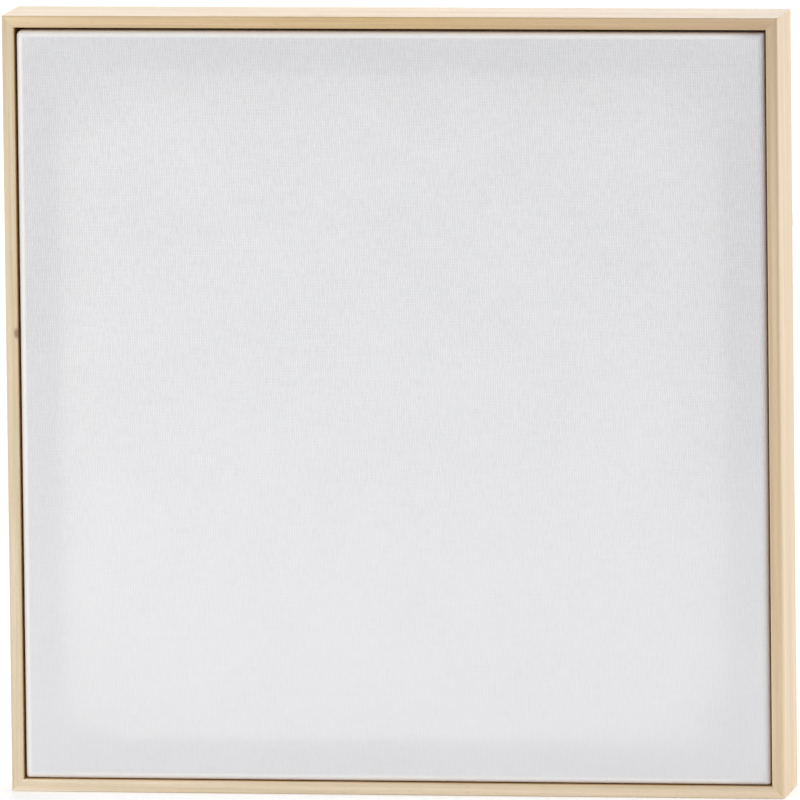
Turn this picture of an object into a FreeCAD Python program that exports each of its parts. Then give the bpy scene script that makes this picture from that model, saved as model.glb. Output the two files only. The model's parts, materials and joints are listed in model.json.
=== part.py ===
"""A canvas stretched over a keyed wooden stretcher, held in a floating frame.

Millimetres. +X is to the right, +Y runs from the picture side towards the wall and +Z is up. The
origin is the middle of the bottom edge: x is zero on the centre line, y is zero half-way through
the frame's depth, and z is zero at the face that the frame stands on.

Everything that repeats round the picture is drawn for the bottom side, about the centre of the
frame or of the canvas, and is turned about Y in quarter turns to the right, top and left sides.
The canvas sits a little low in its frame, as canvases do when screwed in by hand.
"""
import FreeCAD, Part
import math
import os
import re

import Sketcher
from FreeCAD import Placement, Rotation, Vector

DIMENSIONS = [
    # name, size, what it measures
    ("canvas_side", 300, "canvas, edge to edge, cloth included"),
    ("cloth", 0.5, "thickness of the primed cloth"),
    ("fold", 1.0, "extra thickness of the folded cloth at a back corner"),
    ("fold_side", 15, "side of the square that a folded corner covers"),
    ("flap_width", 16, "cloth turned over onto the back of a bar"),
    ("bar_width", 17, "stretcher bar, outer edge to inner edge"),
    ("bar_depth", 30, "stretcher bar, front to back"),
    ("bead_width", 5, "raised outer part of a bar's front, which carries the cloth"),
    ("bead_radius", 2.7, "round of a bar's front outer edge"),
    ("bevel_drop", 2.5, "fall of a bar's front from the bead to its inner edge"),
    ("arris", 0.7, "small round on the edges of the planed wood"),
    ("tongue", 5, "thickness of a tongue and of the slot that takes it"),
    ("key_length", 30, "wedge key, tip to tail"),
    ("key_tip", 3, "wedge key, height at its tip"),
    ("key_tail", 9, "wedge key, height at its tail"),
    ("key_seat", 11, "length of a key inside its slot"),
    ("key_clear", 0.1, "clearance round a key"),
    ("recess", 0.5, "canvas behind the frame's front"),
    ("float_gap", 0.75, "open gap between the canvas and the frame's wall, all round"),
    ("shift_down", 0.4, "canvas below the frame's middle, as it was screwed in"),
    ("face_width", 4.8, "frame's wall, seen from the front"),
    ("frame_depth", 40, "frame, front to back"),
    ("ledge_reach", 9.2, "frame's ledge, from the wall inwards"),
    ("vnail_inset", 11, "bend of a V-nail from each outer side of the frame"),
    ("vnail_leg", 5, "leg of a V-nail"),
    ("vnail_sheet", 0.5, "thickness of a V-nail"),
    ("vnail_depth", 5, "V-nail, front to back"),
    ("staple_crown", 10, "staple, width of the crown"),
    ("staple_leg", 6.5, "staple, crown to point"),
    ("staple_wire", 0.6, "staple, thickness of the wire"),
    ("staple_band", 1.2, "staple, width of the wire"),
    ("staple_inset", 12.5, "staple from the bar's outer edge"),
    ("staple_corner", 12.6, "corner staple from each outer edge of the bars"),
    ("staple_pitch", 38, "spacing of the staples"),
    ("staple_count", 7, "staples along one side"),
    ("screw_inset", 10.2, "frame screw from the frame's outer side"),
    ("screw_length", 20, "frame screw, over all"),
    ("screw_radius", 1.5, "frame screw, shank"),
    ("screw_head", 2.9, "frame screw, radius of the countersunk head"),
    ("screw_cone", 2, "frame screw, height of the countersunk head"),
    ("screw_hole", 1.7, "frame screw, radius of its hole in the ledge"),
    ("screw_point", 3, "length of a screw's point"),
    ("cross_arm", 1.5, "cross recess, from the centre to the end of an arm"),
    ("cross_slot", 0.7, "cross recess, width of an arm"),
    ("cross_depth", 1, "cross recess, depth"),
    ("hanger_drop", 80, "ring's hinge below the top of the frame"),
    ("strap_width", 8, "hanger strap, width"),
    ("strap_length", 11, "hanger strap, from the hinge to its lower end"),
    ("strap_sheet", 0.8, "hanger strap, thickness"),
    ("strap_hole", 1.6, "hanger strap, radius of the screw hole"),
    ("strap_screw", 6.2, "hanger strap, screw below the hinge"),
    ("ring_wire", 0.9, "ring, radius of the wire"),
    ("ring_clear", 0.08, "ring's radial clearance in the strap's eye"),
    ("ring_reach", 6.0, "ring, half its width, to the middle of the wire"),
    ("ring_straight", 6, "ring, from the hinge to where the bow begins"),
    ("ring_bend", 1.8, "ring, radius of its two corners"),
    ("pan_radius", 2.7, "hanger screw, radius of the head"),
    ("pan_height", 1.2, "hanger screw, height of the head"),
    ("pan_shank", 1.4, "hanger screw, radius of the shank"),
    ("pan_length", 6, "hanger screw, length under the head"),
]

# Lengths worked out from the sheet. The y places run from the front, negative, to the back.
DERIVED = {
    "half_frame": "(canvas_side / 2 + float_gap + face_width)",
    "wall_inner": "(canvas_side / 2 + float_gap)",
    "ledge_inner": "(wall_inner - ledge_reach)",
    "frame_front": "(0 - frame_depth / 2)",
    "frame_back": "(frame_depth / 2)",
    "half_canvas": "(canvas_side / 2)",
    "picture_z": "(half_frame - shift_down)",
    "cloth_front": "(frame_front + recess)",
    "bar_front": "(cloth_front + cloth)",
    "bar_back": "(bar_front + bar_depth)",
    "flap_back": "(bar_back + cloth)",
    "ledge_front": "(flap_back + fold)",
    "bar_outer": "(half_canvas - cloth)",
    "bar_inner": "(bar_outer - bar_width)",
    "cheek": "(bar_depth / 2 - tongue)",
    "layer_front": "(bar_front + cheek)",
    "layer_middle": "(layer_front + tongue)",
    "layer_back": "(layer_middle + tongue)",
    "key_slope": "((key_tail - key_tip) / key_length)",
    "ring_eye": "(ring_wire + ring_clear)",
    "eye_outer": "(ring_eye + strap_sheet)",
    "hinge_back": "(frame_back + eye_outer)",
    "hanger_inset": "((face_width + ledge_reach) / 2)",
}

MARGIN = "1"          # how far a cutting outline runs past the wood
CENTRE = 3            # a sketch's number for an arc's centre
EYE_END = math.radians(60)   # the strap's eye is rolled until this angle short of a closed turn
SIDES = ["bottom", "right", "top", "left"]
CORNERS = ["bottom_right", "top_right", "top_left", "bottom_left"]
PICTURE = ("0", "picture_z")   # centre of the canvas and its stretcher

doc = FreeCAD.newDocument("framed_canvas")
sheet = doc.addObject("Spreadsheet::Sheet", "Dimensions")
for row, (name, size, meaning) in enumerate(DIMENSIONS, 1):
    sheet.set("A%d" % row, name)
    sheet.set("B%d" % row, str(size))
    sheet.setAlias("B%d" % row, name)
    sheet.set("C%d" % row, meaning)
doc.recompute()
ALIASES = {name for name, size, meaning in DIMENSIONS}


def formula(text):
    """The sheet expression for a formula written in the words above."""
    def spelled(match):
        word = match.group(0)
        if word in DERIVED:
            return formula(DERIVED[word])
        return "Dimensions." + word if word in ALIASES else word
    return re.sub(r"[a-z_]+", spelled, text)


def bind(thing, prop, text):
    """Tie a property to a formula."""
    thing.setExpression(prop, formula(text))


def value(text):
    """The number that a formula gives now."""
    return float(sheet.evalExpression(formula(text)))


def origin_part(body, role):
    """One of a body's own origin planes or axes."""
    return next(item for item in body.Origin.OriginFeatures if item.Role == role)


def new_body(label, x="0", z="half_frame", quarter_turns=0):
    """An empty body with its own label, turned about Y and placed at x and z."""
    body = doc.addObject("PartDesign::Body", label)
    body.Label = label
    body.Placement = Placement(Vector(), Rotation(Vector(0, 1, 0), -90 * quarter_turns))
    bind(body, "Placement.Base.x", x)
    bind(body, "Placement.Base.z", z)
    return body


def outline(body, name, plane, points, shift=("0", "0", "0"), turn=None):
    """A closed sketch through points (u, v), every number a formula.

    A point (u, v, centre u, centre v, way) begins an arc to the next point, and its way is "left"
    for counter-clockwise or "right" for clockwise.
    """
    sketch = body.newObject("Sketcher::SketchObject", name)
    sketch.AttachmentSupport = [(origin_part(body, plane), "")]
    sketch.MapMode = "FlatFace"
    if turn is not None:
        sketch.AttachmentOffset = Placement(Vector(), turn)
    for axis, text in zip("xyz", shift):
        bind(sketch, "AttachmentOffset.Base." + axis, text)
    places = [Vector(value(point[0]), value(point[1]), 0) for point in points]
    ends = []
    for point, start, end in zip(points, places, places[1:] + places[:1]):
        if len(point) == 2:
            sketch.addGeometry(Part.LineSegment(start, end), False)
            ends.append((1, 2))
        else:
            sketch.addGeometry(arc(start, end, point), False)
            ends.append((1, 2) if point[4] == "left" else (2, 1))
    for index, (first, last) in enumerate(ends):
        following = (index + 1) % len(ends)
        sketch.addConstraint(
            Sketcher.Constraint("Coincident", index, last, following, ends[following][0]))
    for index, point in enumerate(points):
        fix(sketch, "DistanceX", index, ends[index][0], point[0])
        fix(sketch, "DistanceY", index, ends[index][0], point[1])
        if len(point) == 5:
            chord = places[(index + 1) % len(places)] - places[index]
            kind, text = ("DistanceY", point[3]) if abs(chord.x) > abs(chord.y) else (
                "DistanceX", point[2])
            fix(sketch, kind, index, CENTRE, text)
    return sketch


def arc(start, end, point):
    """The arc that an outline's point begins."""
    centre = Vector(value(point[2]), value(point[3]), 0)
    first, last = (start, end) if point[4] == "left" else (end, start)
    angles = [math.atan2(place.y - centre.y, place.x - centre.x) for place in (first, last)]
    if angles[1] <= angles[0]:
        angles[1] += 2 * math.pi
    circle = Part.Circle(centre, Vector(0, 0, 1), start.distanceToPoint(centre))
    return Part.ArcOfCircle(circle, angles[0], angles[1])


def fix(sketch, kind, index, place, text):
    """Holds one coordinate of a point of a sketch at a formula."""
    row = sketch.addConstraint(Sketcher.Constraint(kind, -1, 1, index, place, value(text)))
    bind(sketch, "Constraints[%d]" % row, text)


def pad(body, sketch, length, symmetric=False):
    """Material on a sketch, along its normal or evenly to both sides."""
    feature = body.newObject("PartDesign::Pad", sketch.Name + "_pad")
    feature.Profile = sketch
    bind(feature, "Length", length)
    if symmetric:
        feature.SideType = "Symmetric"
    doc.recompute()
    return feature


def slab(body, name, points, front, back):
    """Material inside an outline in the XZ plane, from the front y to the back y."""
    sketch = outline(body, name, "XZ_Plane", points, shift=("0", "0", "0 - " + back))
    return pad(body, sketch, "%s - (%s)" % (back, front))


def cut(body, name, points, front, back):
    """A hole of an outline in the XZ plane, from the front y to the back y."""
    before = body.Shape.Volume
    sketch = outline(body, name, "XZ_Plane", points, shift=("0", "0", "0 - (%s)" % front))
    feature = body.newObject("PartDesign::Pocket", sketch.Name + "_pocket")
    feature.Profile = sketch
    bind(feature, "Length", "%s - (%s)" % (back, front))
    doc.recompute()
    if not feature.Shape.Volume < before - 1e-6:
        raise RuntimeError("%s removed nothing" % feature.Name)
    return feature


def spin(body, name, points, shift=("0", "0", "0")):
    """A solid turned about the line of an outline's v axis, which is the body's Y direction."""
    sketch = outline(body, name, "XY_Plane", points, shift=shift)
    feature = body.newObject("PartDesign::Revolution", name + "_turned")
    feature.Profile = sketch
    feature.ReferenceAxis = (sketch, ["V_Axis"])
    doc.recompute()
    return feature


def round_long_edges(body, name, radius, places):
    """Rounds the edges that run along X through the given (y, z) places."""
    wanted = [(value(y), value(z)) for y, z in places]
    base = body.Tip
    found = []
    for number, edge in enumerate(base.Shape.Edges, 1):
        box = edge.BoundBox
        along_x = box.YLength < 1e-5 and box.ZLength < 1e-5
        if along_x and any(math.dist((box.YMin, box.ZMin), place) < 1e-4 for place in wanted):
            found.append("Edge%d" % number)
    if len(found) != len(places):
        raise RuntimeError("%s found %d of %d edges" % (name, len(found), len(places)))
    feature = body.newObject("PartDesign::Fillet", name)
    feature.Base = (base, found)
    bind(feature, "Radius", radius)
    doc.recompute()
    return feature


def square(half):
    """Corners of a square about the centre, from the formula of half its side."""
    low = "0 - " + half
    return [(low, low), (half, low), (half, half), (low, half)]


def mitre(body, name, outer, inner, front, back):
    """Cuts both ends of a bottom piece at 45 degrees, from outer to inner half-length."""
    far = "(%s + %s)" % (outer, MARGIN)
    near = "(%s - %s)" % (inner, MARGIN)
    for side, sign in (("left", "-1 * "), ("right", "")):
        points = [(sign + far, "0 - " + far), (sign + near, "0 - " + near),
                  (sign + far, "0 - " + near)]
        cut(body, "%s_%s" % (name, side), points, front, back)


# ---- floating frame ---------------------------------------------------------------------------

def frame_rail(side, quarter_turns):
    """An L-shaped moulding: the wall seen from the front, and the ledge behind the canvas."""
    body = new_body("frame_rail_" + side, quarter_turns=quarter_turns)
    outer, wall, ledge = "(0 - half_frame)", "(0 - wall_inner)", "(0 - ledge_inner)"
    profile = [("frame_front", outer), ("frame_back", outer), ("frame_back", ledge),
               ("ledge_front", ledge), ("ledge_front", wall), ("frame_front", wall)]
    sketch = outline(body, "moulding_" + side, "YZ_Plane", profile)
    pad(body, sketch, "2 * half_frame", symmetric=True)
    round_long_edges(body, "arris_" + side, "arris",
                     [("frame_front", outer), ("frame_front", wall), ("frame_back", ledge)])
    mitre(body, "rail_mitre_" + side, "half_frame", "ledge_inner",
          "frame_front - " + MARGIN, "frame_back + " + MARGIN)
    ledge_hole(body, side)
    return body


def ledge_hole(body, side):
    """The countersunk hole for the screw that holds the canvas to the ledge."""
    low = "frame_back - screw_cone - frame_depth / 4"
    profile = [("0", low), ("screw_hole", low), ("screw_hole", "frame_back - screw_cone"),
               ("screw_head", "frame_back"), ("screw_head", "frame_back + " + MARGIN),
               ("0", "frame_back + " + MARGIN)]
    sketch = outline(body, "hole_profile_" + side, "XY_Plane", profile,
                     shift=("0", "0", "screw_inset - half_frame"))
    feature = body.newObject("PartDesign::Groove", "screw_hole_" + side)
    feature.Profile = sketch
    feature.ReferenceAxis = (sketch, ["V_Axis"])
    before = body.Shape.Volume
    doc.recompute()
    if not feature.Shape.Volume < before - 1e-6:
        raise RuntimeError("%s removed nothing" % feature.Name)


def v_nail(corner, quarter_turns):
    """A bent strip of steel pressed across a frame mitre from behind."""
    body = new_body("v_nail_" + corner, quarter_turns=quarter_turns)
    bend, low = "(half_frame - vnail_inset)", "(vnail_inset - half_frame)"
    points = [(bend, low), (bend, low + " - vnail_leg"),
              (bend + " + vnail_sheet", low + " - vnail_leg"),
              (bend + " + vnail_sheet", low + " - vnail_sheet"),
              (bend + " + vnail_leg", low + " - vnail_sheet"),
              (bend + " + vnail_leg", low)]
    slab(body, "v_strip_" + corner, points, "frame_back - vnail_depth", "frame_back")
    return body


# ---- stretcher --------------------------------------------------------------------------------

def stretcher_bar(side, quarter_turns):
    """A bar with mitred cheeks and, between them, a tongue and a slot at each end.

    At the right end the front layer is the slot and the back layer the tongue; at the left end it
    is the other way round, so that four equal bars lock together.
    """
    body = new_body("stretcher_bar_" + side, *PICTURE, quarter_turns)
    outer, inner = "(0 - bar_outer)", "(0 - bar_inner)"
    profile = [("bar_front", outer), ("bar_back", outer), ("bar_back", inner),
               ("bar_front + bevel_drop", inner), ("bar_front", outer + " + bead_width")]
    sketch = outline(body, "bar_profile_" + side, "YZ_Plane", profile)
    pad(body, sketch, "2 * bar_outer", symmetric=True)
    round_long_edges(body, "bead_" + side, "bead_radius", [("bar_front", outer)])
    round_long_edges(body, "inner_arris_" + side, "arris",
                     [("bar_back", inner), ("bar_front + bevel_drop", inner)])
    mitre(body, "front_mitre_" + side, "bar_outer", "bar_inner",
          "bar_front - " + MARGIN, "layer_front")
    mitre(body, "back_mitre_" + side, "bar_outer", "bar_inner",
          "layer_back", "bar_back + " + MARGIN)
    layers = [("", "right", "layer_front", "layer_middle"),
              ("-1 * ", "left", "layer_middle", "layer_back")]
    for sign, end, front, back in layers:
        cut(body, "slot_%s_%s" % (side, end), slot_outline(sign), front, back)
    return body


def slot_outline(sign):
    """The slot of a bottom bar: open at the bar's end, with an end wall at the key's slope."""
    far = sign + "(bar_outer + %s)" % MARGIN
    above, below = "(%s - bar_inner)" % MARGIN, "(0 - bar_outer - %s)" % MARGIN
    wall_above = sign + "(bar_inner - key_tip - key_slope * (key_seat + %s))" % MARGIN
    wall_below = sign + "(bar_inner - key_tip - key_slope * (key_seat - bar_width - %s))" % MARGIN
    return [(far, below), (far, above), (wall_above, above), (wall_below, below)]


def wedge_key(corner, place, sign, front, back, quarter_turns):
    """A wedge that lies on the neighbouring bar's inner edge, its tip in the bottom bar's slot."""
    body = new_body("key_%s_%s" % (corner, place), *PICTURE, quarter_turns)
    flat = sign + "(bar_inner - key_clear)"
    tip, tail = "(0 - bar_inner - key_seat)", "(0 - bar_inner - key_seat + key_length)"
    points = [(flat, tip), (flat, tail), (sign + "(bar_inner - key_tail + key_clear)", tail),
              (sign + "(bar_inner - key_tip + key_clear)", tip)]
    slab(body, "wedge_%s_%s" % (corner, place), points, front + " + key_clear",
         "(%s - key_clear)" % back)
    return body


# ---- cloth and its staples --------------------------------------------------------------------

def canvas():
    """The cloth: its front, its four sides and the flaps turned over onto the back."""
    body = new_body("canvas", *PICTURE)
    block = slab(body, "cloth_block", square("half_canvas"), "cloth_front", "bar_back")
    front, back = value("cloth_front"), value("bar_back")
    front_edges = ["Edge%d" % number for number, edge in enumerate(block.Shape.Edges, 1)
                   if abs(edge.BoundBox.YMax - front) < 1e-5]
    rounded = body.newObject("PartDesign::Fillet", "cloth_rounds")
    rounded.Base = (block, front_edges)
    bind(rounded, "Radius", "bead_radius + cloth")
    doc.recompute()
    back_face = ["Face%d" % number for number, face in enumerate(rounded.Shape.Faces, 1)
                 if abs(face.BoundBox.YMin - back) < 1e-5]
    shell = body.newObject("PartDesign::Thickness", "cloth_skin")
    shell.Base = (rounded, back_face)
    bind(shell, "Value", "cloth")
    shell.Reversed = True
    doc.recompute()
    slab(body, "flaps", square("half_canvas"), "bar_back", "flap_back")
    cut(body, "flap_opening", square("(half_canvas - flap_width)"),
        "bar_back - " + MARGIN, "flap_back + " + MARGIN)
    near, far = "(half_canvas - fold_side)", "half_canvas"
    for corner, across, up in (("bottom_right", "", "-1 * "), ("top_right", "", ""),
                               ("top_left", "-1 * ", ""), ("bottom_left", "-1 * ", "-1 * ")):
        points = [(across + near, up + near), (across + far, up + near),
                  (across + far, up + far), (across + near, up + far)]
        slab(body, "fold_" + corner, points, "flap_back", "ledge_front")
    return body


def staple_outline(seat):
    """A staple seen along its band, its crown on the cloth at y = seat."""
    half, crown = "(staple_crown / 2)", "(%s + staple_wire)" % seat
    point, inside = "(%s - staple_leg)" % crown, "(staple_crown / 2 - staple_wire)"
    return [("0 - " + half, crown), ("0 - " + half, point), ("0 - " + inside, point),
            ("0 - " + inside, seat), (inside, seat), (inside, point), (half, point), (half, crown)]


def staple_row(side, quarter_turns):
    """The staples along one bar, through the cloth's flap."""
    body = new_body("staples_" + side, *PICTURE, quarter_turns)
    sketch = outline(body, "staple_" + side, "XY_Plane", staple_outline("flap_back"),
                     shift=("(1 - staple_count) / 2 * staple_pitch", "0",
                            "staple_inset - bar_outer"))
    first = pad(body, sketch, "staple_band", symmetric=True)
    row = body.newObject("PartDesign::LinearPattern", "staple_row_" + side)
    row.Originals = [first]
    row.Direction = (sketch, ["H_Axis"])
    bind(row, "Length", "(staple_count - 1) * staple_pitch")
    bind(row, "Occurrences", "staple_count")
    body.Tip = row
    doc.recompute()
    return body


def corner_staples():
    """One staple over each folded corner, square to the mitre."""
    body = new_body("staples_corners", *PICTURE)
    place = "(bar_outer - staple_corner)"
    sketch = outline(body, "corner_staple", "XY_Plane", staple_outline("ledge_front"),
                     shift=(place, "0", "0 - " + place), turn=Rotation(Vector(0, 1, 0), -45))
    first = pad(body, sketch, "staple_band", symmetric=True)
    ring = body.newObject("PartDesign::PolarPattern", "corner_staple_ring")
    ring.Originals = [first]
    ring.Axis = (origin_part(body, "Y_Axis"), [""])
    ring.Angle = 360
    ring.Occurrences = len(CORNERS)
    body.Tip = ring
    doc.recompute()
    return body


# ---- screws -----------------------------------------------------------------------------------

def cross_recess(body, name, centre_z, top):
    """A cross recess for a driver, sunk from the head's top."""
    arm, half = "cross_arm", "(cross_slot / 2)"
    for number, (wide, tall) in enumerate([(arm, half), (half, arm)], 1):
        points = [("0 - " + wide, centre_z + " - " + tall), (wide, centre_z + " - " + tall),
                  (wide, centre_z + " + " + tall), ("0 - " + wide, centre_z + " + " + tall)]
        cut(body, "%s_%d" % (name, number), points, top + " - cross_depth", top + " + " + MARGIN)


def frame_screw(side, quarter_turns):
    """A countersunk screw through the ledge and the flap into the stretcher bar."""
    body = new_body("frame_screw_" + side, quarter_turns=quarter_turns)
    tip = "(frame_back - screw_length)"
    profile = [("0", tip), ("screw_radius", tip + " + screw_point"),
               ("screw_radius", "frame_back - screw_cone"), ("screw_head", "frame_back"),
               ("0", "frame_back")]
    spin(body, "screw_profile_" + side, profile, shift=("0", "0", "screw_inset - half_frame"))
    cross_recess(body, "screw_cross_" + side, "(screw_inset - half_frame)", "frame_back")
    return body


def hanger_screw(side, across):
    """A pan-head screw that holds a hanger strap on the ledge."""
    body = new_body("hanger_screw_" + side, x=across, z="2 * half_frame - hanger_drop")
    seat = "(frame_back + strap_sheet)"
    top = "(frame_back + strap_sheet + pan_height)"
    tip = "(%s - pan_length)" % seat
    profile = [("0", tip), ("pan_shank", tip + " + screw_point / 2"), ("pan_shank", seat),
               ("pan_radius", seat), ("pan_radius", seat + " + pan_height / 3"),
               ("pan_radius / 2", top), ("0", top)]
    spin(body, "pan_profile_" + side, profile, shift=("0", "0", "0 - strap_screw"))
    cross_recess(body, "pan_cross_" + side, "(0 - strap_screw)", top)
    return body


# ---- ring hangers -----------------------------------------------------------------------------

def hanger_strap(side, across):
    """A sheet strap rolled into an eye at its top, which carries the ring's straight leg."""
    body = new_body("hanger_strap_" + side, x=across, z="2 * half_frame - hanger_drop")
    cosine, sine = "%.9f" % math.cos(EYE_END), "%.9f" % math.sin(EYE_END)
    rolled = ("hinge_back", "0", "right")
    back = ("hinge_back", "0", "left")
    profile = [("frame_back", "0 - strap_length"), ("frame_back", "0") + rolled,
               ("hinge_back + eye_outer", "0") + rolled,
               ("hinge_back - eye_outer * " + cosine, "0 - eye_outer * " + sine),
               ("hinge_back - ring_eye * " + cosine, "0 - ring_eye * " + sine) + back,
               ("hinge_back + ring_eye", "0") + back,
               ("hinge_back - ring_eye", "0"), ("hinge_back - ring_eye", "0 - strap_length")]
    sketch = outline(body, "strap_profile_" + side, "YZ_Plane", profile)
    pad(body, sketch, "strap_width", symmetric=True)
    round_way = ("0", "0 - strap_screw", "left")
    hole = [("0", "0 - strap_screw - strap_hole") + round_way,
            ("0", "0 - strap_screw + strap_hole") + round_way]
    cut(body, "strap_hole_" + side, hole, "frame_back - " + MARGIN,
        "frame_back + strap_sheet + " + MARGIN)
    return body


def hanger_ring(side, across):
    """A D-shaped wire ring that hangs from the strap's eye round the screw's head."""
    body = new_body("hanger_ring_" + side, x=across, z="2 * half_frame - hanger_drop")
    shift = ("0", "0", "0 - hinge_back")
    reach, inner = "ring_reach", "(ring_reach - ring_bend)"
    path = [("0 - " + inner, "0"), (inner, "0", inner, "0 - ring_bend", "right"),
            (reach, "0 - ring_bend"), (reach, "0 - ring_straight", "0", "0 - ring_straight", "right"),
            ("0 - " + reach, "0 - ring_straight"),
            ("0 - " + reach, "0 - ring_bend", "0 - " + inner, "0 - ring_bend", "right")]
    spine = outline(body, "ring_path_" + side, "XZ_Plane", path, shift=shift)
    wire = outline(body, "ring_section_" + side, "YZ_Plane",
                   [("hinge_back - ring_wire", "0", "hinge_back", "0", "left"),
                    ("hinge_back + ring_wire", "0", "hinge_back", "0", "left")])
    pipe = body.newObject("PartDesign::AdditivePipe", "ring_bent_" + side)
    pipe.Profile = wire
    pipe.Spine = spine
    doc.recompute()
    return body


# ---- assembly ---------------------------------------------------------------------------------

def assemble():
    """Every piece, as a list of bodies."""
    pieces = [canvas(), corner_staples()]
    for turns, side in enumerate(SIDES):
        pieces.append(frame_rail(side, turns))
        pieces.append(stretcher_bar(side, turns))
        pieces.append(staple_row(side, turns))
        pieces.append(frame_screw(side, turns))
        pieces.append(v_nail(CORNERS[turns], turns))
        pieces.append(wedge_key(CORNERS[turns], "front", "", "layer_front", "layer_middle", turns))
        pieces.append(
            wedge_key(CORNERS[turns - 1], "back", "-1 * ", "layer_middle", "layer_back", turns))
    for side, across in (("left", "hanger_inset - half_frame"),
                         ("right", "half_frame - hanger_inset")):
        pieces.append(hanger_strap(side, across))
        pieces.append(hanger_ring(side, across))
        pieces.append(hanger_screw(side, across))
    return pieces


def check(pieces):
    """Stops if any object failed, or any piece is empty or not valid."""
    doc.recompute()
    for thing in doc.Objects:
        if "Invalid" in thing.State or "Error" in thing.State:
            raise RuntimeError("%s is %s" % (thing.Name, thing.State))
    for piece in pieces:
        if piece.Shape.isNull() or not piece.Shape.isValid() or not piece.Shape.Solids:
            raise RuntimeError("%s has no valid solid" % piece.Label)


pieces = assemble()
check(pieces)
os.makedirs("parts", exist_ok=True)
for piece in pieces:
    piece.Shape.exportStep("parts/%s.step" % piece.Label)
    print("%-28s %d solids %10.2f mm3" % (piece.Label, len(piece.Shape.Solids), piece.Shape.Volume))
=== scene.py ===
"""Looks for a canvas stretched over a keyed stretcher, held in a floating wooden frame.

Metres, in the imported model's own frame: +X to the right, +Y towards the wall, +Z up. The picture's
centre is on x = 0, and the frame stands on z = 0. Lengths written as "* MM" are millimetres.
"""
import json
import math
import random

import bmesh
import bpy
import numpy as np
from mathutils import Matrix, Vector

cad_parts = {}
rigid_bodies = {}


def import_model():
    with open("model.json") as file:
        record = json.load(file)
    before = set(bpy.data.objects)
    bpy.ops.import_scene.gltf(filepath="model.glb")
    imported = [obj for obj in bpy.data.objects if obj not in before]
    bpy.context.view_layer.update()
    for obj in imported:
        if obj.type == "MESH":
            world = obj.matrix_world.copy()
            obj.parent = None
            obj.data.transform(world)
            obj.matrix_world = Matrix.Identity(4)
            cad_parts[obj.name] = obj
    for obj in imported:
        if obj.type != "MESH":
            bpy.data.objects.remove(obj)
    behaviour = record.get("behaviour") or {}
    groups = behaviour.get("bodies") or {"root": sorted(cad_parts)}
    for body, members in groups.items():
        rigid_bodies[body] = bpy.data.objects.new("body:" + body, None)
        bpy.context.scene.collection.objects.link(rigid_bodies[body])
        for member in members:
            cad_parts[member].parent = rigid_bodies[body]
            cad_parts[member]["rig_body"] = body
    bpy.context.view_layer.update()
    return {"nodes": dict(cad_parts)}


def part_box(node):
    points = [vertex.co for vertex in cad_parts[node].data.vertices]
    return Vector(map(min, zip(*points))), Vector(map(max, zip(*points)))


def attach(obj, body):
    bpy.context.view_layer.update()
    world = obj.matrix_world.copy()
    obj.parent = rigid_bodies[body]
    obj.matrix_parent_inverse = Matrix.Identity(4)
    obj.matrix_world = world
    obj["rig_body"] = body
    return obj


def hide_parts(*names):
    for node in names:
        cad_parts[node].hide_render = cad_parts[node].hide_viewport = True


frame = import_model()

MM = 0.001
SIDES = ["bottom", "right", "top", "left"]      # in quarter turns about the picture's centre
CORNERS = ["bottom_right", "top_right", "top_left", "bottom_left"]
CENTRE = (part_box("canvas")[0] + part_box("canvas")[1]) / 2
HALF_CANVAS = (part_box("canvas")[1].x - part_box("canvas")[0].x) / 2
CLOTH_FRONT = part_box("canvas")[0].y
BAR_FRONT, BAR_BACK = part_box("stretcher_bar_top")[0].y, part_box("stretcher_bar_top")[1].y
CLOTH = BAR_FRONT - CLOTH_FRONT                 # thickness of the cloth
FOLD_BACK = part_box("canvas")[1].y               # outer face of the folded corners
SIDE_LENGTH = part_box("frame_rail_left")[1].z    # outer side of the square frame
FACE_WIDTH = 4.8 * MM                           # of the rails, seen from the front
WALL = SIDE_LENGTH / 2 - FACE_WIDTH             # the frame's inner wall, from its middle
WHITE = (1.0, 1.0, 1.0, 1)


# ---- node trees -------------------------------------------------------------------------------

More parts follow.
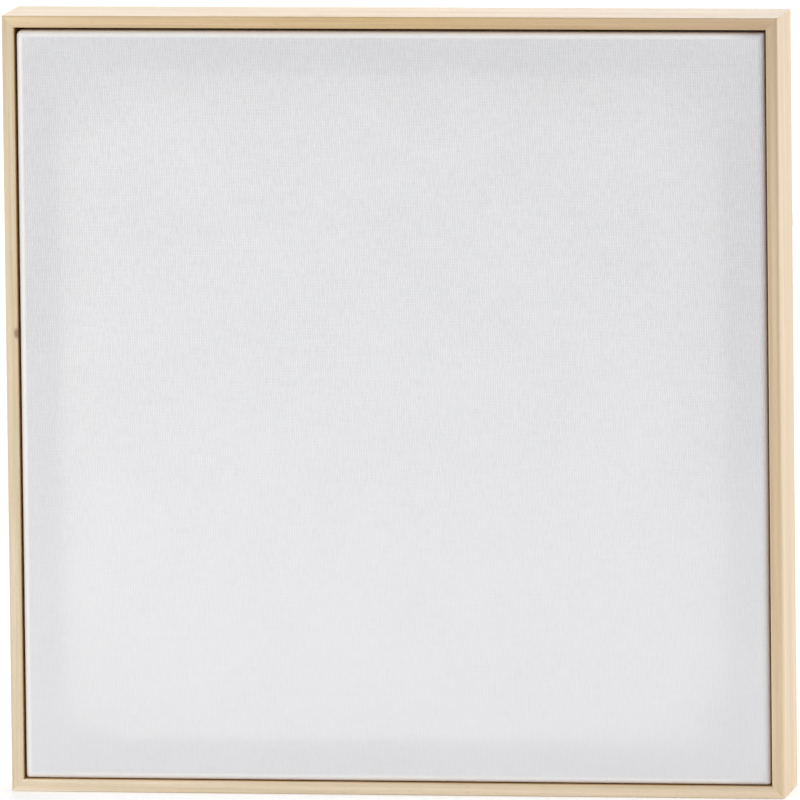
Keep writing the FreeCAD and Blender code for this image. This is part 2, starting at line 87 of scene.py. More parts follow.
class Tree:
    """A material with a Principled shader, and short calls that add nodes to it."""

    def __init__(self, name, **settings):
        self.material = bpy.data.materials.new(name)
        self.material.use_nodes = True
        self.nodes = self.material.node_tree.nodes
        self.links = self.material.node_tree.links
        self.shader = self.nodes["Principled BSDF"]
        self.output = self.nodes["Material Output"]
        for socket, value in settings.items():
            self.shader.inputs[socket.replace("_", " ")].default_value = value

    def add(self, kind, inputs=None, **settings):
        """A node with its settings and inputs, each input a number, a colour or another output."""
        node = self.nodes.new(kind)
        for name, value in settings.items():
            setattr(node, name, value)
        for socket, value in (inputs or {}).items():
            self.feed(node.inputs[socket], value)
        return node

    def feed(self, socket, value):
        """Sets a socket, or links an output to it."""
        if isinstance(value, bpy.types.NodeSocket):
            self.links.new(value, socket)
        else:
            socket.default_value = value

    def sum(self, operation, first, second=0.0, third=0.0):
        """A Math node's result."""
        inputs = {0: first, 1: second, 2: third}
        return self.add("ShaderNodeMath", inputs, operation=operation).outputs[0]

    def split(self, vector):
        """A vector's three numbers."""
        return self.add("ShaderNodeSeparateXYZ", {0: vector}).outputs

    def place(self, source="Object", scale=(1, 1, 1), shift=(0, 0, 0)):
        """Coordinates in metres, scaled and shifted: "Object", or "flat" for unfolded cloth."""
        if source == "flat":
            start = self.add("ShaderNodeUVMap", uv_map="flat").outputs["UV"]
        else:
            start = self.add("ShaderNodeTexCoord").outputs[source]
        inputs = {"Vector": start, "Scale": scale, "Location": shift}
        return self.add("ShaderNodeMapping", inputs).outputs["Vector"]

    def vector(self, operation, first, second=(0, 0, 0), result="Vector"):
        """A Vector Math node's result."""
        inputs = {0: first, 1: second}
        return self.add("ShaderNodeVectorMath", inputs, operation=operation).outputs[result]

    def noise(self, vector, scale=1.0, detail=2.0, roughness=0.5, distortion=0.0):
        """Noise from 0 to 1."""
        inputs = {"Vector": vector, "Scale": scale, "Detail": detail, "Roughness": roughness,
                  "Distortion": distortion}
        return self.add("ShaderNodeTexNoise", inputs).outputs["Fac"]

    def span(self, value, low, high, to_low=0.0, to_high=1.0):
        """A value mapped smoothly from one range to another, and held at its ends."""
        inputs = {"Value": value, "From Min": low, "From Max": high,
                  "To Min": to_low, "To Max": to_high}
        return self.add("ShaderNodeMapRange", inputs, interpolation_type="SMOOTHSTEP").outputs[0]

    def mix(self, share, first, second, blend="MIX"):
        """Two colours mixed."""
        node = self.add("ShaderNodeMix", data_type="RGBA", blend_type=blend)
        for socket, value in ((0, share), (6, first), (7, second)):
            self.feed(node.inputs[socket], value)
        return node.outputs[2]

    def ramp(self, share, stops):
        """A colour ramp through (place, colour) stops."""
        node = self.add("ShaderNodeValToRGB", {"Fac": share})
        points = node.color_ramp.elements
        while len(points) < len(stops):
            points.new(0.5)
        for point, (place, colour) in zip(points, stops):
            point.position = place
            point.color = colour
        return node.outputs["Color"]

    def bump(self, height, distance, strength=1.0, normal=None):
        """A bumped normal, from a height of 0 to 1 and what 1 stands for in metres."""
        inputs = {"Height": height, "Distance": distance, "Strength": strength}
        if normal is not None:
            inputs["Normal"] = normal
        return self.add("ShaderNodeBump", inputs).outputs["Normal"]

    def shine_through(self, share, colour):
        """Lets a share of the light through, as thin cloth does."""
        through = self.add("ShaderNodeBsdfTranslucent", {"Color": colour})
        blend = self.add("ShaderNodeMixShader", {0: share, 1: self.shader.outputs[0],
                                                 2: through.outputs[0]})
        self.links.new(blend.outputs[0], self.output.inputs["Surface"])


# ---- wood -------------------------------------------------------------------------------------
# Tones are linear colours at shares of the way along a rail, from its left or lower end.

FRAME_TONES = {
    "bottom": [(0.0, (0.93, 0.82, 0.67, 1)), (0.35, (0.83, 0.71, 0.54, 1)),
               (1.0, (0.78, 0.65, 0.48, 1))],
    "right": [(0.0, (0.81, 0.66, 0.46, 1)), (0.55, (0.715, 0.565, 0.395, 1)),
              (1.0, (0.59, 0.46, 0.315, 1))],
    "top": [(0.0, (0.75, 0.59, 0.385, 1)), (0.5, (0.67, 0.495, 0.27, 1)),
            (1.0, (0.60, 0.45, 0.295, 1))],
    "left": [(0.0, (0.78, 0.66, 0.49, 1)), (0.6, (0.77, 0.66, 0.48, 1)),
             (1.0, (0.67, 0.555, 0.385, 1))],
}
# painted light: a tone for the right rail's outer side that stands in for how light falls on it
RIGHT_OUTSIDE_PAINTED_LIGHT = (0.68, 0.545, 0.38, 1)
# painted shade: the inner walls in the narrow gap, darker and warmer as bounced light leaves them
REBATE_PAINTED_SHADE = (0.93, 0.72, 0.46, 1)
PINE = (0.78, 0.58, 0.33, 1)
BEECH = (0.80, 0.60, 0.40, 1)
PORE = (0.4, 0.27, 0.15, 1)
KNOT = (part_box("frame_rail_left")[0].x + 4.6 * MM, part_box("frame_rail_left")[0].y, 184 * MM)
KNOT_SHAPE = (1.0, 0.5, 0.62)                   # stretches it across the face and along the grain
KNOT_CORE, KNOT_EDGE = 0.75 * MM, 2.1 * MM
KNOT_COLOUR = (0.19, 0.1, 0.045, 1)
# Noise per metre across the grain and along it.
RING_SCALE, VEIN_SCALE, FIBRE_SCALE = (330, 4.5), (1300, 14), (3600, 70)
DASH_SCALE, CLOUD_SCALE = (4200, 260), (30, 11)
GROOVE_DEPTH = 0.05 * MM


def plain(colour):
    """Stops for wood that has one tone from end to end."""
    return [(0.0, colour), (1.0, colour)]


def wood(name, grain, stops, seed, figure=1.0, pores=1.0, roughness=0.48, knot=None,
         rebate=False, outside_painted_light=None):
    """Straight-grained wood whose fibres run along x or z, toned by stops along the grain.

    With rebate, painted shade darkens and warms the inner walls; outside is a painted-light tone for
    the outer side.
    """
    tree = Tree(name, Specular_IOR_Level=0.5)

    def stretched(scales, shift):
        across, along = scales
        scale = (along, across, across) if grain == "x" else (across, across, along)
        moved = tuple(seed * 3.1 + shift + axis for axis in range(3))
        return tree.place(scale=scale, shift=moved)

    start = -SIDE_LENGTH / 2 if grain == "x" else 0.0
    axes = tree.split(tree.place())
    along = tree.sum("DIVIDE", tree.sum("SUBTRACT", axes[grain.upper()], start), SIDE_LENGTH)
    tone = tree.ramp(along, stops)
    rings = tree.noise(stretched(RING_SCALE, 0.0), detail=2.5, roughness=0.6, distortion=0.25)
    veins = tree.noise(stretched(VEIN_SCALE, 5.0), detail=3, roughness=0.65, distortion=0.1)
    fibres = tree.noise(stretched(FIBRE_SCALE, 9.0), detail=3, roughness=0.7)
    dashes = tree.noise(stretched(DASH_SCALE, 13.0), detail=1, roughness=0.5)
    cloud = tree.noise(stretched(CLOUD_SCALE, 17.0), detail=2)
    late = (1 - 0.13 * figure, 1 - 0.165 * figure, 1 - 0.23 * figure, 1)
    shade = tree.mix(tree.span(rings, 0.36, 0.66), late, (1.03, 1.03, 1.03, 1))
    for share, pattern, low, high, dark in (
            (0.55, veins, 0.32, 0.62, (0.86, 0.83, 0.78, 1)),
            (0.4, fibres, 0.3, 0.7, (0.84, 0.81, 0.77, 1)),
            (0.5, cloud, 0.3, 0.7, (0.93, 0.9, 0.87, 1))):
        shade = tree.mix(share, shade, tree.ramp(pattern, [(low, dark), (high, WHITE)]), "MULTIPLY")
    rise = tree.sum("ABSOLUTE", tree.sum("SUBTRACT", axes["Z"], SIDE_LENGTH / 2))
    reach = tree.sum("MAXIMUM", tree.sum("ABSOLUTE", axes["X"]), rise)
    if outside_painted_light:
        # painted light: the outer side gets its own tone, standing in for how light falls there
        outer = tree.sum("GREATER_THAN", reach, SIDE_LENGTH / 2 - 0.2 * MM)
        tone = tree.mix(outer, tone, outside_painted_light)
    colour = tree.mix(1.0, tone, shade, "MULTIPLY")
    # painted shade on the frame's inner walls
    if rebate:
        inside = tree.sum("MULTIPLY", tree.sum("LESS_THAN", reach, WALL + 0.1 * MM),
                          tree.sum("LESS_THAN", axes["Y"], FOLD_BACK + 0.1 * MM))
        colour = tree.mix(inside, colour, REBATE_PAINTED_SHADE, "MULTIPLY")
    dark = tree.sum("MULTIPLY", tree.span(dashes, 0.63, 0.74), 0.3 * pores)
    colour = tree.mix(dark, colour, PORE)
    if knot:
        offset = tree.vector("SUBTRACT", tree.place(), knot)
        squeezed = tree.vector("MULTIPLY", offset, KNOT_SHAPE)
        ragged = tree.sum("ADD", tree.vector("LENGTH", squeezed, result="Value"),
                          tree.sum("MULTIPLY", veins, 0.5 * MM))
        colour = tree.mix(tree.span(ragged, KNOT_CORE, KNOT_EDGE, 0.75, 0.0), colour, KNOT_COLOUR)
    tree.feed(tree.shader.inputs["Base Color"], colour)
    tree.feed(tree.shader.inputs["Roughness"],
              tree.span(fibres, 0.3, 0.7, roughness + 0.08, roughness - 0.06))
    grooves = tree.sum("SUBTRACT", tree.sum("MULTIPLY_ADD", fibres, 0.5, veins), dark)
    tree.feed(tree.shader.inputs["Normal"], tree.bump(grooves, GROOVE_DEPTH, 0.8))
    return tree.material


# ---- metal ------------------------------------------------------------------------------------

ZINC = (0.50, 0.51, 0.53, 1)
STEEL = (0.50, 0.50, 0.51, 1)
DULL_STEEL = (0.30, 0.29, 0.28, 1)
NICKEL = (0.64, 0.61, 0.56, 1)
SCRATCH_DEPTH = 0.015 * MM


def metal(name, colour, roughness, seed, mottle=0.12):
    """Plated or drawn steel: mottled colour, and a little uneven roughness and relief."""
    tree = Tree(name, Metallic=1.0)
    here = tree.place(shift=(seed, seed * 1.7, seed * 0.6))
    cloud = tree.noise(here, scale=900, detail=3)
    specks = tree.noise(here, scale=5200, detail=2)
    darker = tuple(part * (1 - mottle * 2) for part in colour[:3]) + (1,)
    tree.feed(tree.shader.inputs["Base Color"], tree.ramp(cloud, [(0.3, darker), (0.65, colour)]))
    tree.feed(tree.shader.inputs["Roughness"],
              tree.span(specks, 0.3, 0.7, roughness - 0.07, roughness + 0.12))
    lines = tree.noise(tree.place(scale=(500, 9000, 9000), shift=(seed, 0, 0)), detail=2)
    height = tree.sum("ADD", specks, lines)
    tree.feed(tree.shader.inputs["Normal"], tree.bump(height, SCRATCH_DEPTH, 0.7))
    return tree.material


# ---- cloth ------------------------------------------------------------------------------------

BEAD = 2.7 * MM             # round of the cloth over the bars' front outer edge
FLAT_FRONT = HALF_CANVAS - BEAD                 # half the flat part of the front
BACK_ROUND = 0.8 * MM       # round of the cloth over the bars' back outer edge
FLAP = 16 * MM              # cloth turned over onto the back of the bars
FLAP_HELD = 8.2 * MM        # the part of the flap that the staples hold flat
FLAP_LIFT, FLAP_LIFT_CHANGE = 0.22 * MM, 0.1 * MM
STAPLE_DENT = 0.12 * MM
FRONT_BOW, FRONT_FINE_BOW = 0.05 * MM, 0.025 * MM
FOLD_SIZE = 15 * MM         # of the folded corners, square
STAPLE_PITCH = 38 * MM
STAPLE_COUNT = 7
STAPLE_LINE = (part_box("staples_right")[0].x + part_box("staples_right")[1].x) / 2 - CENTRE.x
CORNER_ROUNDS = {"bottom_right": 1.0 * MM, "top_right": 0.7 * MM, "top_left": 2.4 * MM,
                 "bottom_left": 1.4 * MM}

WARP_PITCH = 0.93 * MM      # upright threads
WEFT_PITCH = 0.62 * MM      # level threads
WARP_LEAN = 2.0             # degrees that the upright threads lean
WEAVE_WEAK_BELOW, WEAVE_FULL_ABOVE = -0.14, 0.1            # heights from the picture's centre between which the weave's relief and painted valley shade grow to full
BRIGHT_BEAD_END = (0.13, 0.147)                 # the bead's painted highlight fades out between these, towards the right
WEAVE_DEPTH = 0.15 * MM
COTTON_DEPTH = 0.14 * MM
SLUB_DEPTH = 0.12 * MM      # of the small thick places in the yarn
PRIMING = (0.855, 0.858, 0.88, 1)
# painted shade in the weave's valleys
PRIMING_VALLEY_SHADE = (0.71, 0.713, 0.735, 1)
# painted highlight on the bead, where light catches the cloth's rounded edge
BEAD_PAINTED_HIGHLIGHT = (0.95, 0.95, 0.955, 1)
SLUB = (0.74, 0.72, 0.68, 1)
COTTON = (0.77, 0.71, 0.6, 1)
# painted shade in the weave's valleys
COTTON_VALLEY_SHADE = (0.52, 0.46, 0.36, 1)
FLECK = (0.38, 0.29, 0.18, 1)
PRIMED_THROUGH, COTTON_THROUGH = 0.15, 0.5      # shares of the light let through


def weave(tree):
    """Height of a plain weave, 0 to 1, from the coordinates of the unfolded cloth."""
    axes = tree.split(tree.place("flat"))
    drift = tree.noise(tree.place("flat", scale=(45, 45, 1)), detail=1)
    across = tree.sum("MULTIPLY_ADD", axes["Y"], math.tan(math.radians(WARP_LEAN)), axes["X"])
    across = tree.sum("MULTIPLY_ADD", drift, 1.2 * MM, across)
    up = tree.sum("MULTIPLY_ADD", drift, 0.8 * MM, axes["Y"])
    warp = tree.sum("COSINE", tree.sum("MULTIPLY", across, math.pi / WARP_PITCH))
    weft = tree.sum("COSINE", tree.sum("MULTIPLY", up, math.pi / WEFT_PITCH))
    over = tree.sum("MULTIPLY_ADD", tree.sum("MULTIPLY", warp, weft), 0.5, 0.5)
    under = tree.sum("SUBTRACT", 1.0, over)
    uneven_warp = tree.noise(tree.place("flat", scale=(1 / WARP_PITCH, 250, 1)), detail=2)
    uneven_weft = tree.noise(tree.place("flat", scale=(110, 1 / WEFT_PITCH, 1)), detail=2)
    warp_height = tree.sum("MULTIPLY", tree.sum("POWER", warp, 2.0), tree.sum(
        "MULTIPLY", tree.sum("MULTIPLY_ADD", over, 0.7, 0.3),
        tree.span(uneven_warp, 0.3, 0.7, 0.2, 1.35)))
    weft_height = tree.sum("MULTIPLY", tree.sum("POWER", weft, 2.0), tree.sum(
        "MULTIPLY", under, tree.span(uneven_weft, 0.3, 0.7, 0.3, 0.95)))
    return tree.sum("MAXIMUM", warp_height, weft_height)


def primed_cloth():
    """Cotton with a thin white priming, with painted shade in the weave's valleys and a painted
    highlight on the bead; the relief and valley shade are weaker low down, and the highlight fades
    out towards the right.
    """
    tree = Tree("primed_canvas_look", Roughness=0.6, Specular_IOR_Level=0.32)
    threads = weave(tree)
    axes = tree.split(tree.place("flat"))
    patches = tree.noise(tree.place("flat", scale=(24, 24, 1)), detail=2)
    # the weave's relief and its painted valley shade are weaker low down
    relief_share = tree.sum("ADD", tree.span(axes["Y"], WEAVE_WEAK_BELOW, WEAVE_FULL_ABOVE, 0.3, 1.0),
                            tree.span(patches, 0.3, 0.7, -0.06, 0.06))
    edge = tree.sum("MAXIMUM", tree.sum("ABSOLUTE", axes["X"]), tree.sum("ABSOLUTE", axes["Y"]))
    # where the painted highlight lies: the bead, faded out towards the right; the weave's relief is
    # weaker there too
    bead = tree.sum("MULTIPLY", tree.span(edge, FLAT_FRONT - 0.3 * MM, FLAT_FRONT + 1.0 * MM),
                    tree.span(edge, FLAT_FRONT + 3.0 * MM, FLAT_FRONT + 5.0 * MM, 1.0, 0.0))
    bead = tree.sum("MULTIPLY", bead, tree.span(axes["X"], *BRIGHT_BEAD_END, 1.0, 0.0))
    relief_share = tree.sum("MULTIPLY", relief_share, tree.sum("MULTIPLY_ADD", bead, -0.7, 1.0))
    lumps = tree.noise(tree.place("flat", scale=(700, 700, 1)), detail=3, roughness=0.6)
    spots = tree.add("ShaderNodeTexVoronoi", {"Vector": tree.place("flat", scale=(26, 26, 1)),
                                              "Scale": 1.0}).outputs["Distance"]
    slubs = tree.span(spots, 0.012, 0.035, 1.0, 0.0)
    height = tree.sum("MULTIPLY_ADD", lumps, 0.5, threads)
    low = tree.sum("SUBTRACT", 1.0, tree.span(threads, 0.05, 0.7))
    # painted shade in the weave's valleys
    colour = tree.mix(tree.sum("MULTIPLY", low, relief_share), PRIMING, PRIMING_VALLEY_SHADE)
    colour = tree.mix(tree.sum("MULTIPLY", slubs, 0.5), colour, SLUB)
    # painted highlight on the bead
    colour = tree.mix(bead, colour, BEAD_PAINTED_HIGHLIGHT)
    tree.feed(tree.shader.inputs["Base Color"], colour)
    relief = tree.bump(tree.sum("MULTIPLY", height, relief_share), WEAVE_DEPTH)
    tree.feed(tree.shader.inputs["Normal"], tree.bump(slubs, SLUB_DEPTH, normal=relief))
    tree.shine_through(PRIMED_THROUGH, (0.86, 0.87, 0.9, 1))
    return tree.material


def raw_cotton():
    """The unprimed side of the cloth and its cut edge."""
    tree = Tree("raw_cotton_look", Roughness=0.9, Specular_IOR_Level=0.1, Sheen_Weight=0.15)
    threads = weave(tree)
    flecks = tree.noise(tree.place("flat", scale=(900, 120, 1)), detail=2)
    # painted shade in the weave's valleys
    colour = tree.mix(tree.span(threads, 0.0, 0.6), COTTON_VALLEY_SHADE, COTTON)
    colour = tree.mix(tree.span(flecks, 0.66, 0.76, 0.0, 0.5), colour, FLECK)
    tree.feed(tree.shader.inputs["Base Color"], colour)
    tree.feed(tree.shader.inputs["Normal"], tree.bump(threads, COTTON_DEPTH))
    tree.shine_through(COTTON_THROUGH, (0.82, 0.82, 0.82, 1))
    return tree.material


def side_steps():
    """Places along one side, -1 to 1, close together near the corners."""
    near = np.array([0, 0.25, 0.5, 0.8, 1.2, 1.7, 2.4, 3.3, 4.5, 6.0, 8.0, 10.3]) * MM
    from_corner = np.concatenate([near, np.linspace(near[-1], FLAT_FRONT, 50)[1:]]) / FLAT_FRONT
    return np.concatenate([from_corner - 1, (1 - from_corner[:-1])[::-1]])


def ring_profile():
    """(half side, y, flat half side, corner round share) of each ring, from the front outwards."""
    rows = []
    front_steps, back_steps = 8, 4
    for step in range(1, front_steps + 1):
        turn = math.pi / 2 * step / front_steps
        rows.append((FLAT_FRONT + BEAD * math.sin(turn),
                     CLOTH_FRONT + BEAD * (1 - math.cos(turn)), math.sin(turn)))
    front, back = CLOTH_FRONT + BEAD, BAR_BACK + CLOTH
    for share in (0.12, 0.3, 0.5, 0.7, 0.88, 1.0):
        rows.append((HALF_CANVAS, front + (back - BACK_ROUND - front) * share, 1.0))
    for step in range(1, back_steps + 1):
        turn = math.pi / 2 * step / back_steps
        rows.append((HALF_CANVAS - BACK_ROUND * (1 - math.cos(turn)),
                     back - BACK_ROUND * (1 - math.sin(turn)), 1.0 - 0.5 * step / back_steps))
    for inward in (2.2, 4.5, 7.0, 9.3, 11.0, 12.1, 13.0, 13.9, 14.9, 16.0):
        rows.append((HALF_CANVAS - inward * MM, back, 0.5 * (1 - inward * MM / FLAP)))
    profile, flat = [], FLAT_FRONT
    before = (FLAT_FRONT, CLOTH_FRONT)
    for half, y, share in rows:
        flat += math.dist(before, (half, y))
        profile.append((half, y, flat, share))
        before = (half, y)
    return profile


def ring_points(steps, half, share):
    """One ring's points as x + i z about the picture's centre, counter-clockwise from the front."""
    points = []
    for turn, corner_after in enumerate(CORNERS):
        corner_before = CORNERS[turn - 1]
        for step in steps[:-1]:
            rounding = CORNER_ROUNDS[corner_after if step > 0 else corner_before] * share
            gap = half * (1 - abs(step))
            point = complex(half * step, -half)
            if gap < rounding:
                angle = math.pi / 4 * (1 - gap / rounding)
                straight = half - rounding
                point = complex(math.copysign(straight + rounding * math.sin(angle), step),
                                -straight - rounding * math.cos(angle))
            points.append(point * 1j ** turn)
    return np.array(points)


def ripple(x, z, seed):
    """Smooth unevenness from -1 to 1, from a few crossing waves."""
    draw = random.Random(seed)
    total = np.zeros_like(x)
    for _ in range(9):
        turn, wave, phase = draw.uniform(0, 6.28), draw.uniform(38, 150), draw.uniform(0, 6.28)
        total += np.sin((x * math.cos(turn) + z * math.sin(turn)) * wave + phase)
    return total / 4.5


def front_height(x, z):
    """How far the stretched cloth bows out of its plane, positive towards the bars."""
    inside = np.clip(1 - np.maximum(abs(x), abs(z)) / FLAT_FRONT, 0, 1)
    soft = np.clip(inside / 0.13, 0, 1)
    return (FRONT_BOW * ripple(x, z, 4) + FRONT_FINE_BOW * ripple(x * 3, z * 3, 8)) * soft


def flap_height(half, flat_along):
    """How far the turned-over cloth stands up between the staples that hold it."""
    places = (np.arange(STAPLE_COUNT) - (STAPLE_COUNT - 1) / 2) * STAPLE_PITCH
    nearest = np.min(abs(flat_along[:, None] - places[None, :]), axis=1)
    free = np.clip((HALF_CANVAS - FLAP_HELD - half) / (FLAP - FLAP_HELD), 0, 1)
    between = 0.5 - 0.5 * np.cos(np.clip(nearest / (STAPLE_PITCH / 2), 0, 1) * math.pi)
    most = FLAP_LIFT + FLAP_LIFT_CHANGE * ripple(flat_along * 5, flat_along, 3)
    under_staple = np.exp(-((half - STAPLE_LINE) / (1.1 * MM)) ** 2) * (nearest < 6.5 * MM)
    from_corner = np.clip((half - abs(flat_along)) / FLAP, 0, 1)
    return most * between * free ** 1.5 * from_corner - STAPLE_DENT * under_staple


def cloth_mesh():
    """The outer skin of the cloth: a grid in front, then rings round to the flaps' cut edge."""
    steps = side_steps()
    count = len(steps) - 1
    grid = steps * FLAT_FRONT
    x, z = np.meshgrid(grid, grid)
    front = np.stack([x, CLOTH_FRONT + front_height(x, z), z], -1).reshape(-1, 3)
    index = np.arange(len(grid) ** 2).reshape(len(grid), len(grid))
    before = np.concatenate([index[0, :-1], index[:-1, -1], index[-1, :0:-1], index[:0:-1, 0]])
    vertices, faces, flats = [front], [], []
    for row in range(count):
        for column in range(count):
            corners = [(row, column), (row, column + 1), (row + 1, column + 1), (row + 1, column)]
            faces.append([int(index[place]) for place in corners])
            flats.extend((grid[place[1]], grid[place[0]]) for place in corners)
    total = len(front)
    side = np.repeat(np.arange(4), count)
    along = np.tile(steps[:-1], 4)
    flat_before = half_before = FLAT_FRONT
    for half, y, flat, share in ring_profile():
        points = ring_points(steps, half, share)
        flat_along = along * half
        depth = np.full(len(points), y)
        if half < HALF_CANVAS - BACK_ROUND - 0.1 * MM and y > 0:
            depth = depth + flap_height(half, flat_along)
            if half < HALF_CANVAS - 14.5 * MM:
                reach = (HALF_CANVAS - half) / FLAP
                points = points * (1 + 0.004 * reach * ripple(flat_along * 9, side * 1.0, 6))
        vertices.append(np.stack([points.real, depth, points.imag], -1))
        ring = np.arange(total, total + len(points))
        total += len(points)
        for place in range(len(points)):
            after = (place + 1) % len(points)
            faces.append([int(before[place]), int(ring[place]), int(ring[after]),
                          int(before[after])])
            turn = 1j ** int(side[place])
            start, end = steps[place % count], steps[place % count + 1]
            for reach, size, step in ((flat_before, half_before, start), (flat, half, start),
                                      (flat, half, end), (flat_before, half_before, end)):
                spot = complex(step * size, -reach) * turn
                flats.append((spot.real, spot.imag))
        before, flat_before, half_before = ring, flat, half
    return np.concatenate(vertices), faces, flats


def new_object(name, data):
    """An object with this mesh, light or camera, in the scene."""
    piece = bpy.data.objects.new(name, data)
    bpy.context.scene.collection.objects.link(piece)
    return piece


def apply_modifiers(piece):
    """Makes a piece's modified mesh its own."""
    seen = piece.evaluated_get(bpy.context.evaluated_depsgraph_get())
    mesh = bpy.data.meshes.new_from_object(seen)
    piece.modifiers.clear()
    piece.data = mesh


def tube(line, radius, sides=5):
    """Vertices and faces of a closed tube along a list of points."""
    vertices, faces = [], []
    off_line = Vector((0.13, 0.97, 0.21))       # a direction that no line runs in
    for place, point in enumerate(line):
        ahead = line[min(place + 1, len(line) - 1)] - line[max(place - 1, 0)]
        across = ahead.cross(off_line).normalized()
        other = ahead.cross(across).normalized()
        for step in range(sides):
            turn = 2 * math.pi * step / sides
            vertices.append(point + (across * math.cos(turn) + other * math.sin(turn)) * radius)
    for place in range(len(line) - 1):
        for step in range(sides):
            after = (step + 1) % sides
            low, high = place * sides, (place + 1) * sides
            faces.append([low + step, high + step, high + after, low + after])
    faces.append(list(range(sides)))
    faces.append(list(range((len(line) - 1) * sides, len(line) * sides))[::-1])
    return vertices, faces


def frayed_threads():
    """Loose thread ends along the flaps' cut edge, which lie on the back of the bars."""
    draw = random.Random(21)
    vertices, faces = [], []
    edge = HALF_CANVAS - FLAP
    threads_per_side, overlap = 46, 0.8 * MM
    for turn in range(4):
        for _ in range(threads_per_side):
            along = draw.uniform(-edge + 3 * MM, edge - 3 * MM)
            length, bend = draw.uniform(1.0, 3.4) * MM, draw.uniform(-1.3, 1.3) * MM
            rise = draw.uniform(0.05, 0.35) * MM
            line = []
            for share in np.linspace(0, 1, 5):
                spot = complex(along + bend * share ** 2,
                               -edge - overlap + (length + overlap) * share) * 1j ** turn
                depth = BAR_BACK + (0.26 - 0.1 * share) * MM + rise * share * (1 - share)
                line.append(Vector((spot.real, depth, spot.imag)))
            more, skin = tube(line, draw.uniform(0.07, 0.13) * MM)
            faces.extend([[number + len(vertices) for number in face] for face in skin])
            vertices.extend(more)
    return vertices, faces


def corner_fold(turn):
    """The cloth folded on itself at a back corner: a closed pad with a slanting overlap."""
    count, sunk = 20, 0.05 * MM
    low = BAR_BACK + CLOTH - sunk
    room = FOLD_BACK - BAR_BACK - CLOTH
    top, bottom = [], []
    for row in range(count + 1):
        for column in range(count + 1):
            right, down = column / count, row / count
            edge = min(right, down, 1 - right, 1 - down)
            rounding = min(1.0, (edge / 0.045) ** 0.5) if edge < 0.045 else 1.0
            over = np.clip((right - down * 0.92 - 0.02) / 0.06, 0, 1)
            lip = math.exp(-((right - down * 0.92 - 0.07) / 0.035) ** 2)
            thick = room * (0.5 + 0.36 * over + 0.12 * lip) * (0.25 + 0.75 * rounding)
            wave = 1 + 0.015 * math.sin(7 * right + 3 * down + turn)
            spot = complex(HALF_CANVAS + FOLD_SIZE * (right - 1),
                           -HALF_CANVAS - FOLD_SIZE * (down - 1)) * 1j ** turn
            top.append(Vector((spot.real, low + sunk + thick * wave, spot.imag)))
            bottom.append(Vector((spot.real, low, spot.imag)))
    vertices = top + bottom
    faces, shift = [], len(top)
    for row in range(count):
        for column in range(count):
            first = row * (count + 1) + column
            quad = [first, first + 1, first + count + 2, first + count + 1]
            faces.append(quad[::-1])
            faces.append([number + shift for number in quad])
    rim = list(range(count))
    rim += [row * (count + 1) + count for row in range(count)]
    rim += [count * (count + 1) + column for column in range(count, 0, -1)]
    rim += [row * (count + 1) for row in range(count, 0, -1)]
    for first, second in zip(rim, rim[1:] + rim[:1]):
        faces.append([first, second, second + shift, first + shift])
    return vertices, faces


def lift_to_centre(points):
    """Points about the picture's centre as points of the scene."""
    return [Vector((point[0] + CENTRE.x, point[1], point[2] + CENTRE.z)) for point in points]


def build_canvas():
    """The stretched cloth as one sheet, with its folded corners and frayed edge."""
    points, faces, flats = cloth_mesh()
    mesh = bpy.data.meshes.new("canvas_cloth")
    mesh.from_pydata(lift_to_centre(points), [], faces)
    mesh.uv_layers.new(name="flat").data.foreach_set("uv", np.array(flats).ravel())
    for material in (primed_cloth(), raw_cotton()):
        mesh.materials.append(material)
    piece = new_object("canvas_cloth", mesh)
    skin = piece.modifiers.new("thickness", "SOLIDIFY")
    skin.thickness = CLOTH
    skin.offset = -1
    skin.use_even_offset = True
    skin.material_offset = 1
    skin.material_offset_rim = 1
    apply_modifiers(piece)
    parts = [(*corner_fold(turn), 0) for turn in range(4)] + [(*frayed_threads(), 1)]
    form = bmesh.new()
    form.from_mesh(piece.data)
    flat = form.loops.layers.uv["flat"]
    for vertices, skin_faces, slot in parts:
        made = [form.verts.new(point) for point in lift_to_centre(vertices)]
        for face in skin_faces:
            new = form.faces.new([made[number] for number in face])
            new.material_index = slot
            for loop in new.loops:
                loop[flat].uv = (loop.vert.co.x - CENTRE.x, loop.vert.co.z - CENTRE.z)
    form.normal_update()
    form.to_mesh(piece.data)
    form.free()
    piece.data.shade_smooth()
    piece.data.set_sharp_from_angle(angle=math.radians(50))
    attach(piece, "frame")
    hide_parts("canvas")
    flat_side = round(2 * ring_profile()[-1][2], 3)


# ---- wood and metal pieces --------------------------------------------------------------------

RAIL_EASE, BAR_EASE, KEY_EASE = 0.45 * MM, 0.25 * MM, 0.3 * MM     # width of the eased edges
STAPLE_EASE, NAIL_EASE, STRAP_EASE = 0.14 * MM, 0.06 * MM, 0.12 * MM
LEDGE_SCREW_EASE, STRAP_SCREW_EASE = 0.08 * MM, 0.1 * MM
CUT_EASE = 0.33             # share of the ease that edges across the grain get
SMOOTH = math.radians(0.4)  # facets that meet flatter than this become one
EDGE = math.radians(32)     # edges sharper than this are eased


